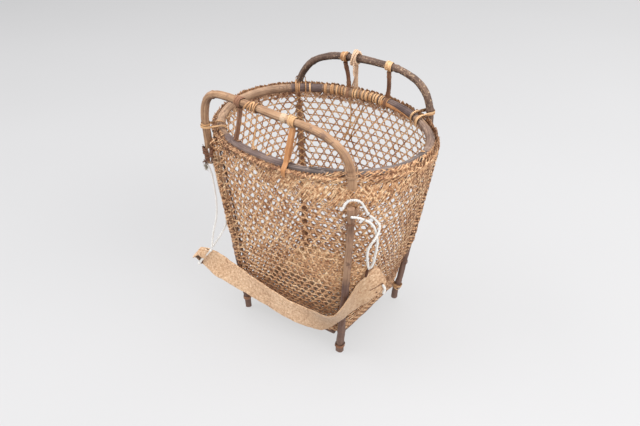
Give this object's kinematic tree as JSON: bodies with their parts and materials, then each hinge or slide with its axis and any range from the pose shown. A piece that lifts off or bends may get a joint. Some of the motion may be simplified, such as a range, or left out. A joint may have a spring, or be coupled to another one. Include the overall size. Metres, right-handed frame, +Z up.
{
  "type": "carrying basket",
  "caption": "Tall open-weave cane carrying basket with corner posts, a thick rim hoop, bail handles over the long sides and a plaited strap hung on cotton cords.",
  "frame": {"origin": "on the ground, under the centre of the rim hoop", "axes": "+Z up, +X along the strap side, the strap hangs on the -Y side"},
  "size_m": [0.3448, 0.2756, 0.4003],
  "materials": {
    "weave": "split cane strips, satin, tan to orange-brown",
    "rim_rod_dark": "unpeeled rod, matt, grey-brown to purplish",
    "rim_rod_tan": "peeled rod, satin, tan with grey wear",
    "handle_dark": "unpeeled rod, matt, dark with pale patches",
    "post_wood": "unpeeled rod with nodes, satin, dark red-brown",
    "cane": "split cane lashing, satin, light tan",
    "dark_fibre": "bundled fibre, matt, dark brown",
    "twisted_fibre": "two-ply twisted cord, matt, cream",
    "jute": "plaited bast fibre band, coarse, matt, beige",
    "cotton": "twisted cotton cord, matt, white"
  },
  "bodies": {
    "basket": {"base_rail_back": "post_wood", "base_rail_front": "post_wood", "base_rail_left": "post_wood", "base_rail_right": "post_wood", "basket_floor": "weave", "basket_wall": "weave", "cane_tie_front": "cane", "cane_tie_front_foot": "cane", "cane_tie_front_loop": "cane", "cotton_band_right": "cotton", "cotton_loop_left": "cotton", "cotton_loop_right": "cotton", "fibre_cord": "twisted_fibre", "fibre_cord_knot": "twisted_fibre", "foot_lashing_back": "cane", "foot_lashing_front": "dark_fibre", "foot_lashing_left": "cane", "foot_lashing_right": "cane", "handle_back": "handle_dark", "handle_front": "rim_rod_tan", "leg_lashing_back": "cane", "leg_lashing_front": "cane", "leg_lashing_left": "cane", "leg_lashing_right": "cane", "post_back": "post_wood", "post_front": "post_wood", "post_lashing_left": "dark_fibre", "post_left": "post_wood", "post_right": "post_wood", "rim_binding": "cane", "rim_border": "weave", "rim_hoop_back": "rim_rod_tan", "rim_hoop_front": "rim_rod_dark", "strut_back_left": "post_wood", "strut_back_left_head_wrap": "cane", "strut_back_right": "post_wood", "strut_back_right_foot_tie": "cane", "strut_back_right_head_wrap": "cane", "strut_front_left": "post_wood", "strut_front_left_foot_tie": "cane", "strut_front_left_head_wrap": "post_wood", "strut_front_right": "cane", "strut_front_right_foot_tie": "cane", "strut_front_right_head_wrap": "cane"},
    "strap": {"carrying_strap": "jute", "cotton_cord_right_a": "cotton", "cotton_cord_right_b": "cotton", "cotton_cord_left_a": "cotton", "cotton_cord_left_b": "cotton", "cotton_tie_left": "cotton", "cotton_tie_right": "cotton", "strap_toggle": "post_wood"}
  },
  "joints": [
    {"name": "strap_swing", "type": "hinge", "parent": "basket", "child": "strap", "pos_m": [0.00595, -0.10425, 0.275], "axis": [-0.9942, -0.1007, 0.038], "range_deg": [0, 120]}
  ]
}
